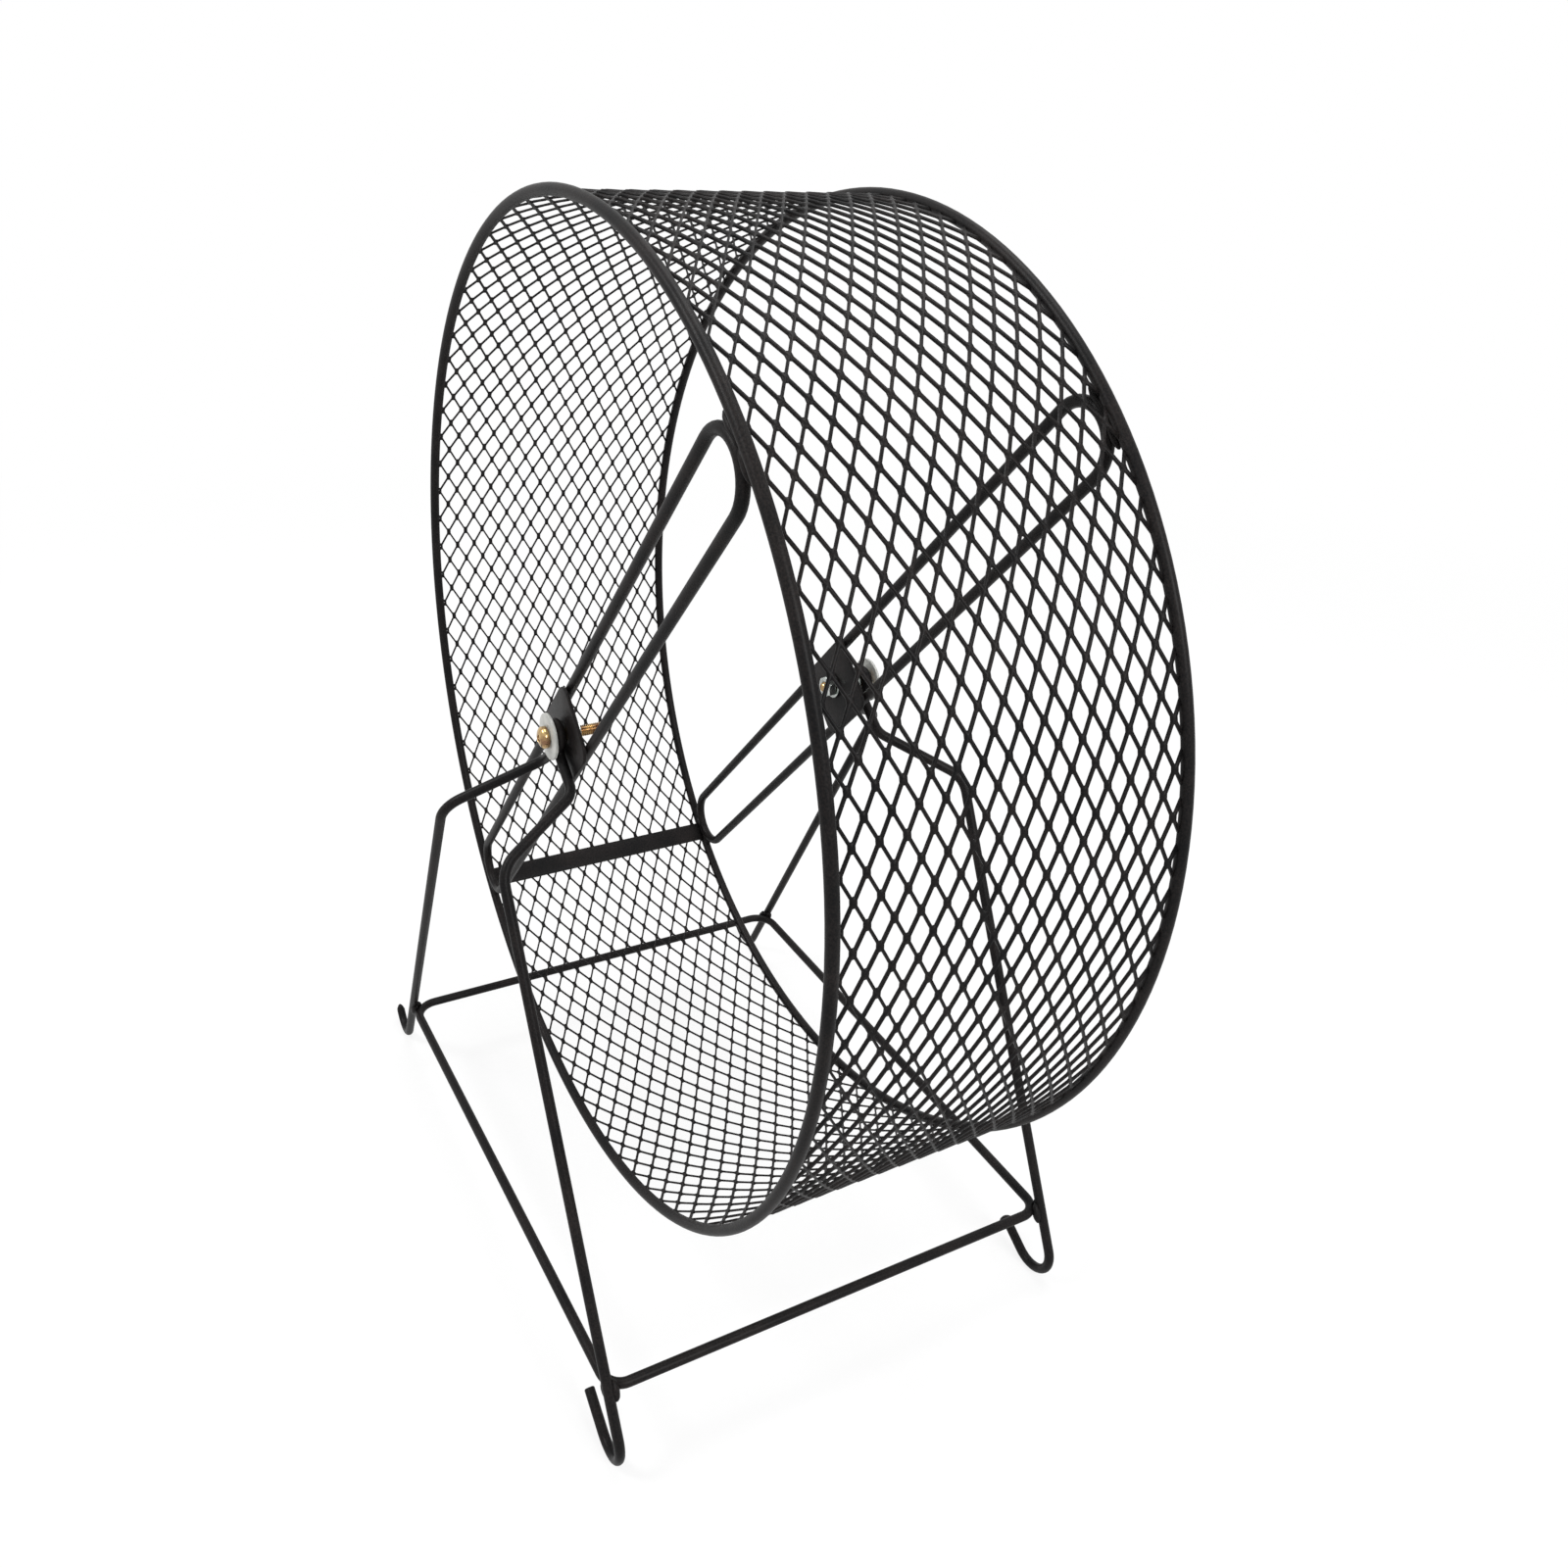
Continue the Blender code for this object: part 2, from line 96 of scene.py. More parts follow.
class Cut(Enum):
    """What a cutter leaves of its blank."""

    OUTSIDE = "DIFFERENCE"
    INSIDE = "INTERSECT"


def in_mm(*sizes: float) -> tuple[float, ...]:
    """Some sizes in millimetres, as metres."""
    return tuple(size * MM for size in sizes)


def linear(hex_color: str) -> tuple[float, float, float, float]:
    """Turns an sRGB hex colour into the linear colour that shaders use.

    Args:
        hex_color: six hex digits after a number sign.

    Returns:
        Red, green, blue and an alpha of one.
    """
    channels = [int(hex_color[place:place + 2], 16) / 255 for place in (1, 3, 5)]
    curved = [value / 12.92 if value <= 0.04045 else ((value + 0.055) / 1.055) ** 2.4 for value in channels]
    return (curved[0], curved[1], curved[2], 1.0)


def add_node(tree: bpy.types.NodeTree, kind: str, values: dict[str, Any] | None = None,
             links: dict[str | int, bpy.types.NodeSocket] | None = None, **settings: Any) -> bpy.types.Node:
    """Adds a node to a material.

    Args:
        tree: node tree of the material.
        kind: Blender's name of the node's type.
        values: constants for its input sockets.
        links: output sockets to join to its input sockets.
        settings: the node's own properties.

    Returns:
        The new node.
    """
    node = tree.nodes.new(kind)
    for name, value in settings.items():
        setattr(node, name, value)
    for name, value in (values or {}).items():
        node.inputs[name].default_value = value
    for name, socket in (links or {}).items():
        tree.links.new(socket, node.inputs[name])
    return node


@dataclass(frozen=True)
class Finish:
    """What all finishes share: a colour that drifts between two, a grained gloss and a fine relief.

    A pattern is the size of its features in millimetres and its detail, and stays with the piece.
    """

    name: str
    slot: str
    colors: tuple[str, str]
    stops: Pair
    drift: Pair
    grain: Pair
    relief: Pair
    relief_height_mm: float
    relief_strength: float
    roughness: Pair
    constants: Constants
    grained_color: bool = False

    def build(self) -> bpy.types.Material:
        """Makes the material.

        Returns:
            The new material.
        """
        material = bpy.data.materials.new(self.name)
        material.use_nodes = True
        tree = material.node_tree
        place = {"Vector": add_node(tree, "ShaderNodeTexCoord").outputs["Object"]}
        drift, grain, relief = [
            add_node(tree, "ShaderNodeTexNoise", {"Scale": 1.0 / (size * MM), "Detail": detail},
                     place).outputs["Fac"] for size, detail in (self.drift, self.grain, self.relief)]
        if self.grained_color:
            both = {0: drift, 1: grain}
            drift = add_node(tree, "ShaderNodeMath", {}, both, operation="MULTIPLY").outputs[0]
        tint = add_node(tree, "ShaderNodeValToRGB", {}, {"Fac": drift})
        for stop, position, color in zip(tint.color_ramp.elements, self.stops, self.colors):
            stop.position = position
            stop.color = linear(color)
        low, high = self.roughness
        rough = add_node(tree, "ShaderNodeMapRange", {"To Min": low, "To Max": high}, {"Value": grain})
        bump = add_node(tree, "ShaderNodeBump",
                        {"Strength": self.relief_strength, "Distance": self.relief_height_mm * MM},
                        {"Height": relief})
        shader = tree.nodes["Principled BSDF"]
        for name, value in self.constants:
            shader.inputs[name].default_value = value
        tree.links.new(tint.outputs["Color"], shader.inputs["Base Color"])
        tree.links.new(rough.outputs["Result"], shader.inputs["Roughness"])
        tree.links.new(bump.outputs["Normal"], shader.inputs["Normal"])
        return material


@dataclass(frozen=True)
class PowderCoat(Finish):
    """Satin black polyester powder coat, sprayed dry and baked on steel wire.

    The eye sees a black that is nearly neutral, a fine orange peel that breaks the highlights into specks,
    and a slightly warm, rougher film where the powder lies thin. The real peel is about 0.2 mm across, too
    fine to show, so it is drawn about three times as coarse.
    """

    name: str = "satin_black_powder_coat"
    slot: str = "black_coat"
    colors: tuple[str, str] = ("#0d0d0e", "#231f1e")
    stops: Pair = (0.16, 0.42)
    drift: Pair = (14.0, 3.0)
    grain: Pair = (0.45, 2.0)
    grained_color: bool = True
    relief: Pair = (0.6, 2.0)
    relief_height_mm: float = 0.06
    relief_strength: float = 0.6
    roughness: Pair = (0.28, 0.56)
    constants: Constants = (("IOR", 1.5), ("Specular IOR Level", 0.1))


@dataclass(frozen=True)
class ZincPlate(Finish):
    """Electroplated zinc on steel, left bright or passivated yellow.

    The eye sees a bright metal with a soft satin grain. The yellow passivation drifts at random from straw to
    a dark brown gold, which is partly its own tone and partly painted dark reflection on the screw. The
    bright zinc drifts from silver to a cool grey.
    """

    stops: Pair = (0.35, 0.65)
    drift: Pair = (2.2, 2.0)
    grain: Pair = (0.12, 1.0)
    relief: Pair = (0.12, 1.0)
    relief_height_mm: float = 0.01
    relief_strength: float = 0.3
    roughness: Pair = (0.14, 0.28)
    constants: Constants = (("Metallic", 1.0),)


@dataclass(frozen=True)
class NaturalNylon(Finish):
    """Punched sheet of natural polyamide 6: milky, lets light through, with a faint haze and dull grain."""

    name: str = "natural_nylon"
    slot: str = "nylon"
    colors: tuple[str, str] = ("#cccdc9", "#e3e3de")
    stops: Pair = (0.35, 0.65)
    drift: Pair = (3.0, 3.0)
    grain: Pair = (0.4, 2.0)
    relief: Pair = (0.4, 2.0)
    relief_height_mm: float = 0.02
    relief_strength: float = 0.25
    roughness: Pair = (0.38, 0.38)
    constants: Constants = (("IOR", 1.53), ("Transmission Weight", 0.45))


BLACK = PowderCoat()
# The second colour, a dark brown gold, is partly the passivation's tone and partly painted dark reflection,
# spread at random.
YELLOW = ZincPlate("yellow_passivated_zinc", "yellow_zinc", ("#cbad78", "#82644c"))
BRIGHT = ZincPlate("bright_zinc", "silver_zinc", ("#d3d6d3", "#aeb5b1"))
NYLON = NaturalNylon()


@cache
def finish_of(finish: Finish) -> bpy.types.Material:
    """Makes each finish once and hands it out again for the next piece."""
    return finish.build()


def settle(builder: BMesh, name: str, finish: Finish, body: Body, replaced: str | None = None,
           sharp_degrees: float = 38.0) -> None:
    """Turns a finished bmesh into a piece that rides on its body.

    Args:
        builder: the piece's mesh, in place; it is freed.
        name: name of the new piece.
        finish: what the piece is finished with.
        body: what it moves with.
        replaced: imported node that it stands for, if any.
        sharp_degrees: edges that turn more than this stay sharp in the shading.
    """
    bmesh.ops.remove_doubles(builder, verts=builder.verts[:], dist=MERGE_DISTANCE)
    bmesh.ops.recalc_face_normals(builder, faces=builder.faces[:])
    mesh = bpy.data.meshes.new(name)
    builder.to_mesh(mesh)
    builder.free()
    mesh.shade_smooth()
    mesh.set_sharp_from_angle(angle=math.radians(sharp_degrees))
    mesh.materials.append(finish_of(finish))
    piece = bpy.data.objects.new(name, mesh)
    bpy.context.scene.collection.objects.link(piece)
    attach(piece, body.value)
    if replaced:
        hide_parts(replaced)
    LOG.info("%s: %d faces, finished in %s", name, len(mesh.polygons), finish.name)


def by_axle(end: End, along: float, reach: float = 0.0) -> Vector:
    """The point this far along the axle towards one end, and this far off it to the right."""
    return AXLE + Vector((reach, end.value * along, 0.0))


def verts_in(geometry: list[Any]) -> list[BMVert]:
    """The vertices among the elements that an operator made."""
    return [item for item in geometry if isinstance(item, BMVert)]


def all_of(builder: BMesh) -> list[Any]:
    """Every vertex, edge and face of a mesh."""
    return builder.verts[:] + builder.edges[:] + builder.faces[:]


def move(builder: BMesh, matrix: Matrix) -> None:
    """Turns and moves a whole mesh."""
    bmesh.ops.transform(builder, matrix=matrix, verts=builder.verts[:])


def block(size: Size) -> BMesh:
    """Saws a box, which lies about the origin.

    Args:
        size: along X, Y and Z.

    Returns:
        The box's mesh.
    """
    builder = bmesh.new()
    bmesh.ops.create_cube(builder, size=1.0)
    bmesh.ops.scale(builder, vec=size, verts=builder.verts[:])
    return builder


def round_edges(builder: BMesh, edges: list[BMEdge], width: float, segments: int,
                clamped: bool = False) -> None:
    """Rounds some edges of a mesh.

    Args:
        builder: mesh to work on.
        edges: the edges to round.
        width: how wide the rounding is.
        segments: facets across it.
        clamped: whether a rounding stops where it meets another.
    """
    bmesh.ops.bevel(builder, geom=edges, offset=width, affect="EDGES", segments=segments, profile=0.5,
                    material=-1, clamp_overlap=clamped)


def ease_edges(builder: BMesh, width: float, segments: int = 2) -> None:
    """Rounds every sharp edge, as tumbling or a coat of powder does.

    Args:
        builder: mesh to work on.
        width: how wide the rounding is.
        segments: facets across it.
    """
    bmesh.ops.recalc_face_normals(builder, faces=builder.faces[:])
    sharp = [edge for edge in builder.edges
             if len(edge.link_faces) == 2 and edge.calc_face_angle() > EASED_FROM]
    round_edges(builder, sharp, width, segments, clamped=True)


def turned(profile: list[tuple[float, float]], end: End, closed: bool = True) -> BMesh:
    """Turns a profile round the axle.

    Args:
        profile: corners as radius and distance along the axle from the wheel's middle.
        end: end of the axle that it belongs to.
        closed: whether the last corner joins the first.

    Returns:
        The turned mesh.
    """
    builder = bmesh.new()
    verts = [builder.verts.new(by_axle(end, along, radius)) for radius, along in profile]
    pairs = list(zip(verts, verts[1:])) + ([(verts[-1], verts[0])] if closed else [])
    edges = [builder.edges.new(pair) for pair in pairs]
    bmesh.ops.spin(builder, geom=verts + edges, cent=AXLE, axis=ALONG_AXLE, angle=2 * math.pi,
                   steps=TURNING_FACETS, use_merge=True)
    bmesh.ops.remove_doubles(builder, verts=builder.verts[:], dist=MERGE_DISTANCE)
    return builder


def carve(blank: BMesh, cutter: BMesh, cut: Cut = Cut.OUTSIDE) -> BMesh:
    """Cuts one mesh with another.

    Args:
        blank: what is cut; it is freed.
        cutter: what cuts it; it is freed.
        cut: which part of the blank is left.

    Returns:
        The cut mesh.
    """
    made = []
    for label, source in (("blank", blank), ("cutter", cutter)):
        bmesh.ops.recalc_face_normals(source, faces=source.faces[:])
        mesh = bpy.data.meshes.new(label)
        source.to_mesh(mesh)
        source.free()
        obj = bpy.data.objects.new(label, mesh)
        bpy.context.scene.collection.objects.link(obj)
        made.append(obj)
    modifier = made[0].modifiers.new("cut", "BOOLEAN")
    modifier.operation = cut.value
    modifier.solver = "EXACT"
    modifier.object = made[1]
    bpy.context.view_layer.update()
    result = bmesh.new()
    result.from_object(made[0], bpy.context.evaluated_depsgraph_get())
    for obj in made:
        bpy.data.meshes.remove(obj.data)
    return result


class WireBender:
    """Feeds one round wire forward and bends it, as a bench bender does."""

    FACETS = 20
    BEND_STEP = math.radians(9.0)
    CUT_ROUNDING = 0.45 * MM

    def __init__(self, start: Vector, heading: Vector, gauge: float) -> None:
        """Clamps the wire.

        Args:
            start: where the bending starts.
            heading: direction of the first feed.
            gauge: diameter of the wire.
        """
        self.mesh = bmesh.new()
        self.start = start.copy()
        turn = heading.to_track_quat("Z", "Y").to_matrix().to_4x4()
        bmesh.ops.create_circle(self.mesh, segments=self.FACETS, radius=gauge / 2,
                                matrix=Matrix.Translation(start) @ turn)
        self.first_ring = self.mesh.edges[:]
        self.rewind(heading)

    def rewind(self, heading: Vector) -> None:
        """Goes back to the clamp, to bend the other half the other way.

        Args:
            heading: direction of the next feed.
        """
        self.ring = list(self.first_ring)
        self.place = self.start.copy()
        self.heading = heading.normalized()

    def feed(self, length: float) -> None:
        """Feeds a straight run.

        Args:
            length: how much wire is fed.
        """
        grown = bmesh.ops.extrude_edge_only(self.mesh, edges=self.ring)["geom"]
        verts = verts_in(grown)
        fresh = set(verts)
        self.ring = [item for item in grown
                     if isinstance(item, BMEdge) and set(item.verts) <= fresh]
        bmesh.ops.translate(self.mesh, vec=self.heading * length, verts=verts)
        self.place = self.place + self.heading * length

    def bend(self, radius: float, turn: float, inward: Vector) -> None:
        """Bends the wire round a former.

        Args:
            radius: of the bend, to the wire's middle.
            turn: angle of the bend.
            inward: direction from the wire to the middle of the bend.
        """
        center = self.place + inward * radius
        axis = self.heading.cross(inward).normalized()
        verts = list({vert for edge in self.ring for vert in edge.verts})
        made = bmesh.ops.spin(self.mesh, geom=verts + self.ring, cent=center, axis=axis, angle=turn,
                              steps=max(2, math.ceil(turn / self.BEND_STEP)), use_duplicate=False,
                              use_merge=False)
        self.ring = [item for item in made["geom_last"] if isinstance(item, BMEdge)]
        turned_by = Matrix.Rotation(turn, 3, axis)
        self.place = center + turned_by @ (self.place - center)
        self.heading = turned_by @ self.heading

    def towards(self, corner: Vector, beyond: Vector, radius: float) -> None:
        """Feeds to a corner and bends there, so that the wire heads for the point beyond it.

        Args:
            corner: where the two straight runs would meet.
            beyond: point that the second run heads for.
            radius: of the bend.
        """
        ahead = (beyond - corner).normalized()
        turn = self.heading.angle(ahead)
        self.feed((corner - self.place).length - radius * math.tan(turn / 2))
        inward = (ahead - self.heading * ahead.dot(self.heading)).normalized()
        self.bend(radius, turn, inward)

    def cut(self) -> None:
        """Cuts the wire here, with its edge rounded by the coat."""
        cap = bmesh.ops.holes_fill(self.mesh, edges=self.ring, sides=0)["faces"]
        round_edges(self.mesh, list({edge for face in cap for edge in face.edges}), self.CUT_ROUNDING, 2)


@dataclass
class Wheel:
    """The turning part's wires: two rims and the spoke loop welded across each."""

    gauge: float = 2.8 * MM
    rim_radius: float = 128.6 * MM
    rim_plane: float = 41.45 * MM
    loop_width: float = 17.1 * MM
    loop_reach: float = 125.5 * MM
    loop_angle: float = math.radians(46.5)
    rim_steps: int = 180

    def along_loop(self, reach: float, across: float, plane: float) -> Vector:
        """Turns a spoke loop's own axes into the frame's.

        Args:
            reach: distance from the axle along the loop.
            across: distance from the loop's middle line.
            plane: distance along the axle from the wheel's middle.

        Returns:
            The point in the frame.
        """
        ahead = Vector((math.cos(self.loop_angle), 0.0, math.sin(self.loop_angle)))
        aside = Vector((-math.sin(self.loop_angle), 0.0, math.cos(self.loop_angle)))
        return AXLE + ahead * reach + aside * across + ALONG_AXLE * plane

    def rim(self, end: End) -> None:
        """Rolls one hoop from wire.

        Args:
            end: which hoop.
        """
        builder = bmesh.new()
        bmesh.ops.create_circle(builder, segments=WireBender.FACETS, radius=self.gauge / 2,
                                matrix=Matrix.Translation(by_axle(end, self.rim_plane, self.rim_radius)))
        bmesh.ops.spin(builder, geom=all_of(builder), cent=AXLE, axis=ALONG_AXLE, angle=2 * math.pi,
                       steps=self.rim_steps, use_merge=True)
        settle(builder, end.label + "_rolled_rim", BLACK, Body.WHEEL, end.label + "_rim")

    def spoke_loop(self, end: End) -> None:
        """Bends one closed loop with round ends.

        Args:
            end: which loop.
        """
        half = self.loop_width / 2
        straight = self.loop_reach - half
        ahead = (self.along_loop(1.0, 0.0, 0.0) - AXLE).normalized()
        aside = (self.along_loop(0.0, 1.0, 0.0) - AXLE).normalized()
        wire = WireBender(self.along_loop(-straight, half, end.value * self.rim_plane), ahead, self.gauge)
        for inward in (-aside, aside):
            wire.feed(2 * straight)
            wire.bend(half, math.pi, inward)
        settle(wire.mesh, end.label + "_bent_spoke_loop", BLACK, Body.WHEEL, end.label + "_spoke_loop")

    def build(self) -> None:
        """Builds both ends."""
        for end in End:
            self.rim(end)
            self.spoke_loop(end)


@dataclass
class RunningMesh:
    """Expanded steel sheet rolled into a drum, and the flat strip inside its seam."""

    radius: float = Wheel.rim_radius
    half_width: float = 40.3 * MM
    cells_around: int = 80
    row_pitch: float = 2.8935 * MM
    first_angle: float = math.radians(0.25)
    first_across: float = 0.6 * MM
    strand_width: float = 0.54 * MM
    thickness: float = 0.5 * MM
    strand_tilt: float = -0.2 * MM
    corner_share: float = 0.24
    joint_merge: float = 0.01 * MM
    seam_angle: float = math.radians(227.2)
    seam_width: float = 6.5 * MM
    seam_thickness: float = 0.8 * MM
    seam_rounding: float = 0.22 * MM

    @property
    def half_long(self) -> float:
        """Half the length of a diamond, round the drum."""
        return math.pi * self.radius / self.cells_around

    def cell(self) -> BMesh:
        """Slits and stretches one diamond opening.

        Returns:
            The opening with the halves of its four strands, flat in XY.
        """
        slant = math.hypot(self.half_long, self.row_pitch)
        open_long = self.half_long - self.strand_width / 2 * slant / self.row_pitch
        open_short = self.row_pitch - self.strand_width / 2 * slant / self.half_long
        builder = bmesh.new()
        for long, short in ((self.half_long, self.row_pitch), (open_long, open_short)):
            diamond = bmesh.ops.create_circle(builder, segments=4, radius=1.0)["verts"]
            bmesh.ops.scale(builder, vec=(long, short, 1.0), verts=diamond)
        bmesh.ops.bridge_loops(builder, edges=builder.edges[:])
        # One facet per corner keeps the whole drum under 200,000 triangles.
        bmesh.ops.bevel(builder, geom=diamond, offset=self.corner_share * open_short, affect="VERTICES",
                        segments=1, profile=0.5, material=-1)
        edging = {vert for edge in builder.edges if edge.is_boundary for vert in edge.verts}
        for vert in edging:
            # The edge of the opening tilts, and the outer diamond, where this sum is one, stays flat.
            if abs(vert.co.x) / self.half_long + abs(vert.co.y) / self.row_pitch < 0.999:
                vert.co.z = self.strand_tilt * vert.co.y / open_short
        return builder

    def column(self) -> BMesh:
        """Repeats the opening from rim to rim, shears both edges off and rolls the column to the drum.

        Returns:
            The rolled column, still without thickness.
        """
        builder = self.cell()
        pattern = builder.faces[:]
        rows = math.ceil(self.half_width / self.row_pitch)
        for row in range(-rows, rows + 1):
            if row == 0:
                continue
            copied = verts_in(bmesh.ops.duplicate(builder, geom=pattern)["geom"])
            step = ((row % 2) * self.half_long, row * self.row_pitch, 0.0)
            bmesh.ops.translate(builder, vec=step, verts=copied)
        bmesh.ops.translate(builder, vec=(self.first_angle * self.radius, self.first_across, 0.0),
                            verts=builder.verts[:])
        for way in (-1.0, 1.0):
            bmesh.ops.bisect_plane(builder, geom=all_of(builder), plane_co=ALONG_AXLE * way * self.half_width,
                                   plane_no=ALONG_AXLE * way, clear_outer=True)
        for vert in builder.verts:
            angle = vert.co.x / self.radius
            reach = self.radius + vert.co.z
            vert.co = AXLE + Vector((reach * math.cos(angle), vert.co.y, reach * math.sin(angle)))
        return builder

    def sheet(self) -> None:
        """Repeats the column round the drum and gives the sheet its thickness."""
        builder = self.column()
        others = self.cells_around - 1
        bmesh.ops.spin(builder, geom=all_of(builder), cent=AXLE, axis=ALONG_AXLE,
                       angle=2 * math.pi / self.cells_around * others, steps=others, use_duplicate=True)
        bmesh.ops.remove_doubles(builder, verts=builder.verts[:], dist=self.joint_merge)
        grown = bmesh.ops.extrude_face_region(builder, geom=builder.faces[:], use_keep_orig=True)["geom"]
        share = 1.0 - self.thickness / self.radius
        bmesh.ops.scale(builder, vec=(share, 1.0, share), space=Matrix.Translation(-AXLE),
                        verts=verts_in(grown))
        settle(builder, "expanded_mesh_drum", BLACK, Body.WHEEL, "mesh_band", 180.0)

    def seam(self) -> None:
        """Cuts and lays in the flat strip that covers the seam."""
        outer = self.radius - self.thickness - abs(self.strand_tilt)
        builder = block((self.seam_thickness, 2 * self.half_width, self.seam_width))
        round_edges(builder, builder.edges[:], self.seam_rounding, 3)
        move(builder, Matrix.Translation(AXLE) @ Matrix.Rotation(-self.seam_angle, 4, "Y")
             @ Matrix.Translation((outer - self.seam_thickness / 2, 0.0, 0.0)))
        settle(builder, "flat_seam_strip", BLACK, Body.WHEEL, "seam_strip")

    def build(self) -> None:
        """Builds the sheet and its seam."""
        self.sheet()
        self.seam()


@dataclass
class AxleHardware:
    """Hub plate, screw, nut, washers and spacer of one end, placed from the wheel's middle outwards."""

    end: End
    eye_plane: float
    plate_inner: float
    seat_gap: float = 0.3 * MM
    bore_radius: float = 1.8 * MM
    plate_length: float = 23.0 * MM
    plate_width: float = 21.7 * MM
    plate_thickness: float = 1.0 * MM
    plate_corner: float = 4.2 * MM
    plate_offset: float = 1.0 * MM
    plate_angle: float = Wheel.loop_angle
    plate_edge: float = 0.3 * MM
    head_radius: float = 2.95 * MM
    head_height: float = 2.3 * MM
    head_side: float = 0.9 * MM
    dome_steps: int = 9
    eye_to_head: float = 2.8 * MM
    recess_length: float = 3.5 * MM
    recess_width: float = 0.8 * MM
    recess_depth: float = 1.8 * MM
    recess_taper: Size = (0.42, 1.0, 0.7)
    recess_turn: float = math.radians(20.0)
    screw_radius: float = 1.5 * MM
    screw_length: float = 16.1 * MM
    screw_edge: float = 0.06 * MM
    thread_pitch: float = 0.5 * MM
    thread_depth: float = 0.25 * MM
    thread_length: float = 8.0 * MM
    thread_sink: float = 0.02 * MM
    thread_crest: tuple[float, float] = (0.42, 0.58)
    thread_steps: int = 20
    tip_chamfer: float = 0.4 * MM
    nut_flats: float = 5.5 * MM
    nut_height: float = 2.2 * MM
    nut_face_share: float = 0.97
    nut_chamfer_angle: float = math.radians(30.0)
    nut_chamfer_share: float = 1.4
    nut_lathe_share: float = 1.01
    nut_bore_chamfer: float = 0.2 * MM
    nut_edge: float = 0.05 * MM
    nut_washer_radius: float = 3.5 * MM
    nut_washer_thickness: float = 0.5 * MM
    nut_washer_edge: float = 0.1 * MM
    spacer_radius: float = 3.0 * MM
    spacer_edge: float = 0.15 * MM
    eye_to_seat: float = 1.7 * MM
    outer_washer_radius: float = 6.25 * MM
    outer_washer_thickness: float = 0.8 * MM
    outer_washer_edge: float = 0.2 * MM

    @property
    def plate_outer(self) -> float:
        """Side of the plate that faces the stand."""
        return self.plate_inner + self.plate_thickness

    @property
    def head_seat(self) -> float:
        """Underside of the screw's head."""
        return self.eye_plane + self.eye_to_head

    def ring(self, radius: float, start: float, stop: float) -> BMesh:
        """Makes a washer or sleeve with a round bore.

        Args:
            radius: its outside.
            start: its face towards the wheel's middle.
            stop: its other face.

        Returns:
            The ring's mesh.
        """
        bore = self.bore_radius
        return turned([(bore, start), (radius, start), (radius, stop), (bore, stop)], self.end)

    def plate(self) -> None:
        """Shears the plate from sheet, rounds its corners and drills it."""
        builder = block((self.plate_length, self.plate_thickness, self.plate_width))
        corners = [edge for edge in builder.edges
                   if abs(edge.verts[0].co.y - edge.verts[1].co.y) > self.plate_thickness / 2]
        round_edges(builder, corners, self.plate_corner, 8)
        middle = (self.plate_inner + self.plate_outer) / 2
        move(builder, Matrix.Translation(by_axle(self.end, middle))
             @ Matrix.Rotation(-self.plate_angle, 4, "Y") @ Matrix.Translation(-UP * self.plate_offset))
        bore, start, stop = self.bore_radius, middle - self.plate_thickness, middle + self.plate_thickness
        drill = turned([(0.0, start), (bore, start), (bore, stop), (0.0, stop)], self.end, closed=False)
        plate = carve(builder, drill)
        ease_edges(plate, self.plate_edge, 3)
        settle(plate, self.end.label + "_sheared_hub_plate", BLACK, Body.WHEEL,
               self.end.label + "_hub_plate")

    def screw(self) -> None:
        """Turns the pan head and shank, punches the cross recess and rolls the thread."""
        dome = self.head_height - self.head_side
        profile = [(0.0, self.head_seat + self.head_height)]
        for step in range(1, self.dome_steps + 1):
            angle = math.pi / 2 * step / self.dome_steps
            profile.append((self.head_radius * math.sin(angle),
                            self.head_seat + self.head_side + dome * math.cos(angle)))
        tip = self.head_seat - self.screw_length
        core = self.screw_radius - self.thread_depth
        thread_end = tip + self.thread_length
        profile += [(self.head_radius, self.head_seat), (self.screw_radius, self.head_seat),
                    (self.screw_radius, thread_end), (core, thread_end - self.thread_depth),
                    (core, tip + self.tip_chamfer / 2), (core - self.tip_chamfer / 2, tip), (0.0, tip)]
        screw = turned(profile, self.end, closed=False)
        for quarter in (0.0, math.pi / 2):
            screw = carve(screw, self.recess_arm(quarter + self.recess_turn))
        ease_edges(screw, self.screw_edge)
        self.roll_thread(screw, tip)
        settle(screw, self.end.label + "_pan_head_screw", YELLOW, Body.WHEEL,
               self.end.label + "_axle_screw")

    def recess_arm(self, angle: float) -> BMesh:
        """Grinds one tapered arm of the punch that makes the cross recess.

        Args:
            angle: of the arm round the screw.

        Returns:
            The arm's mesh, in place on the head.
        """
        arm = block((self.recess_length, 2 * self.recess_depth, self.recess_width))
        bottom = [vert for vert in arm.verts if vert.co.y < 0.0]
        bmesh.ops.scale(arm, vec=self.recess_taper, verts=bottom)
        point_inwards = Matrix.Rotation(math.pi if self.end is End.FRONT else 0.0, 4, "X")
        move(arm, Matrix.Translation(by_axle(self.end, self.head_seat + self.head_height))
             @ Matrix.Rotation(angle, 4, "Y") @ point_inwards)
        return arm

